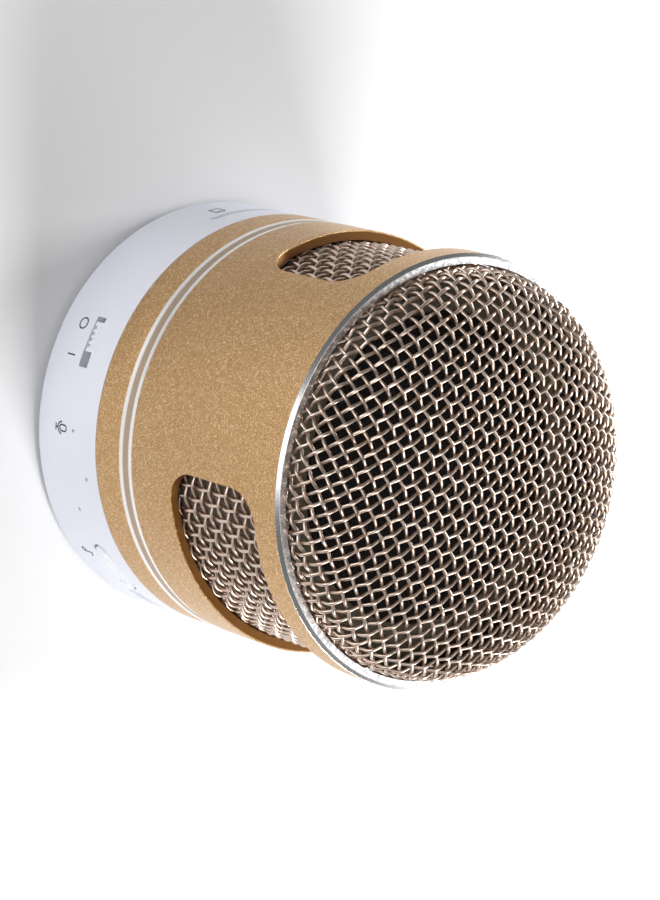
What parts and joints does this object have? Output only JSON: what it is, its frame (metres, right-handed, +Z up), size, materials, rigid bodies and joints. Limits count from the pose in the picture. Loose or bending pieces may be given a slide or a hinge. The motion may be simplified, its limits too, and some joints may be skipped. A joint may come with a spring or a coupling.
{
  "type": "portable speaker with microphone-style mesh head",
  "caption": "Compact drum-shaped portable speaker: domed woven-wire head, windowed metal sleeve, plastic base with power slider, rocker key, microphone hole and sockets.",
  "frame": {"origin": "centre of the rubber foot's resting face", "axes": "+Z up along the body towards the mesh dome; -Y is the front, where the power switch is"},
  "size_m": [0.06, 0.06, 0.0651],
  "materials": {
    "rubber": "matt moulded",
    "white_plastic": "fine satin moulding",
    "cover_plastic": "fine spark texture",
    "key_plastic": "glossy",
    "black_plastic": "matt moulded",
    "board": "solder-mask green",
    "chip": "matt epoxy",
    "capacitor": "satin can",
    "steel": "satin plated",
    "plated_steel": "bright plated",
    "gold_aluminium": "bead-blasted gold anodised with bright turned edges",
    "mesh_wire": "champagne nickel-plated woven wire",
    "dark_metal": "matt black",
    "olive_plastic": "dull gold paint",
    "dark_screw": "black oxide",
    "net_fabric": "fine black open weave",
    "lining_fabric": "fine brown-grey acoustic cloth",
    "cone_paper": "pressed pulp, black",
    "former_paper": "kraft",
    "copper": "enamelled winding",
    "spider_fabric": "resin-stiffened cloth",
    "soft_rubber": "satin",
    "foam": "closed-cell foam",
    "magnet": "ground ferrite",
    "cell": "foil pouch",
    "lead": "pvc",
    "clear_plastic": "clear",
    "tag_board": "phenolic"
  },
  "bodies": {
    "housing": {"foot_ring": "rubber", "base_cover": "cover_plastic", "cover_screws": "steel", "base_shell": "white_plastic", "deck_plate": "cover_plastic", "main_board": "board", "board_screws": "steel", "board_chips": "chip", "board_capacitors": "capacitor", "power_switch": "plated_steel", "rocker_pivot": "black_plastic", "rocker_switches": "plated_steel", "microphone": "capacitor", "microphone_boot": "soft_rubber", "usb_socket": "plated_steel", "audio_socket": "black_plastic", "card_socket": "plated_steel", "light_pipes": "clear_plastic", "battery_pad": "foam", "battery": "cell", "battery_leads": "lead", "sleeve": "gold_aluminium", "side_mesh": "mesh_wire", "side_lining": "lining_fabric", "speaker_frame": "black_plastic", "driver_basket": "dark_metal", "driver_yoke": "steel", "driver_magnet": "magnet", "driver_top_plate": "steel", "driver_spider": "spider_fabric", "driver_surround": "soft_rubber", "driver_gasket": "foam", "driver_terminals": "tag_board", "driver_leads": "lead", "baffle_ring": "olive_plastic", "baffle_screws": "dark_screw", "acoustic_net": "net_fabric", "grille_hoop": "dark_metal", "grille_dome": "mesh_wire"},
    "power_knob": {"power_knob": "key_plastic"},
    "mode_rocker": {"mode_rocker": "key_plastic"},
    "cone": {"driver_cone": "cone_paper", "dust_cap": "cone_paper", "coil_former": "former_paper", "voice_coil": "copper"}
  },
  "joints": [
    {"name": "power_slide", "type": "slide", "parent": "housing", "child": "power_knob", "axis": [0.9977, 0.068, 0], "range_m": [0, 0.002]},
    {"name": "rocker_turn", "type": "hinge", "parent": "housing", "child": "mode_rocker", "pos_m": [0.02502, -0.00842, 0.0094], "axis": [0, 0, 1], "range_deg": [-2.5, 2.5], "stiffness_Nm_per_rad": 0.02},
    {"name": "cone_travel", "type": "slide", "parent": "housing", "child": "cone", "axis": [0, 0, 1], "range_m": [-0.001, 0.001], "stiffness_N_per_m": 1200, "deforming": ["driver_surround", "driver_spider"]}
  ]
}
